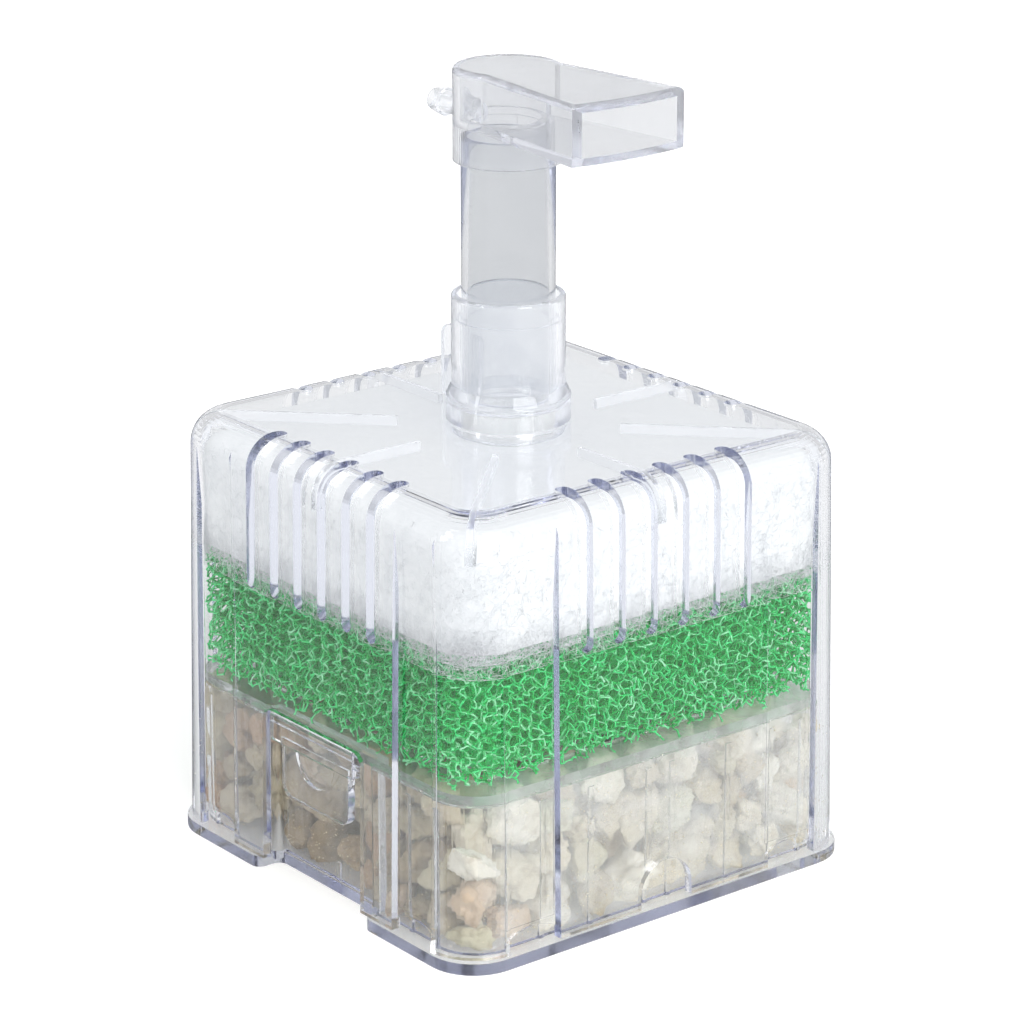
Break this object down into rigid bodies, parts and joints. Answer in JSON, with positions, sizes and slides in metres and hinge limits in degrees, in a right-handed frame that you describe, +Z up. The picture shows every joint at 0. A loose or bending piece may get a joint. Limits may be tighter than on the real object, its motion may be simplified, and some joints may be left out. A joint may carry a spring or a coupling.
{
  "type": "aquarium sponge filter",
  "caption": "Square clear plastic box filter with floss, foam and stone layers, slotted cover, telescoping riser and duckbill outlet driven by air.",
  "frame": {"origin": "centre of the base tray's underside, on the surface the filter stands on", "axes": "+Z up along the riser, +X the way the duckbill outlet points at rest, +Y across it"},
  "size_m": [0.1008, 0.1008, 0.1612],
  "materials": {
    "clear_plastic": "gloss",
    "green_foam": "matte",
    "white_floss": "matte",
    "stone": "matte"
  },
  "bodies": {
    "base": {"base_tray": "clear_plastic", "centre_tube": "clear_plastic", "separator_grid": "clear_plastic", "foam_block": "green_foam", "floss_pad": "white_floss", "stone_01": "stone", "stone_02": "stone", "stone_03": "stone", "stone_04": "stone", "stone_05": "stone", "stone_06": "stone", "stone_07": "stone", "stone_08": "stone", "stone_09": "stone", "stone_10": "stone", "stone_11": "stone", "stone_12": "stone", "stone_13": "stone", "stone_14": "stone", "stone_15": "stone", "stone_16": "stone", "stone_17": "stone", "stone_18": "stone", "stone_19": "stone", "stone_20": "stone", "stone_21": "stone", "stone_22": "stone", "stone_23": "stone", "stone_24": "stone", "stone_25": "stone", "stone_26": "stone", "stone_27": "stone", "stone_28": "stone", "stone_29": "stone", "stone_30": "stone", "stone_31": "stone", "stone_32": "stone", "stone_33": "stone", "stone_34": "stone", "stone_35": "stone", "stone_36": "stone", "stone_37": "stone", "stone_38": "stone", "stone_39": "stone", "stone_40": "stone"},
    "cover": {"cover": "clear_plastic", "riser_socket": "clear_plastic"},
    "latch_front": {"latch_tab_front": "clear_plastic"},
    "latch_back": {"latch_tab_back": "clear_plastic"},
    "riser": {"riser_tube": "clear_plastic"},
    "outlet": {"outlet_head": "clear_plastic", "air_nipple": "clear_plastic"}
  },
  "joints": [
    {"name": "cover_lift", "type": "slide", "parent": "base", "child": "cover", "axis": [0, 0, 1], "range_m": [0, 0.09]},
    {"name": "latch_front_flex", "type": "hinge", "parent": "cover", "child": "latch_front", "pos_m": [0, -0.04844, 0.0352], "axis": [-1, 0, 0], "range_deg": [0, 10], "stiffness_Nm_per_rad": 0.1},
    {"name": "latch_back_flex", "type": "hinge", "parent": "cover", "child": "latch_back", "pos_m": [0, 0.04844, 0.0352], "axis": [1, 0, 0], "range_deg": [0, 10], "stiffness_Nm_per_rad": 0.1},
    {"name": "riser_slide", "type": "slide", "parent": "cover", "child": "riser", "axis": [0, 0, 1], "range_m": [0, 0.014]},
    {"name": "head_turn", "type": "hinge", "parent": "riser", "child": "outlet", "pos_m": [0, 0, 0.146], "axis": [0, 0, 1], "continuous": true}
  ]
}
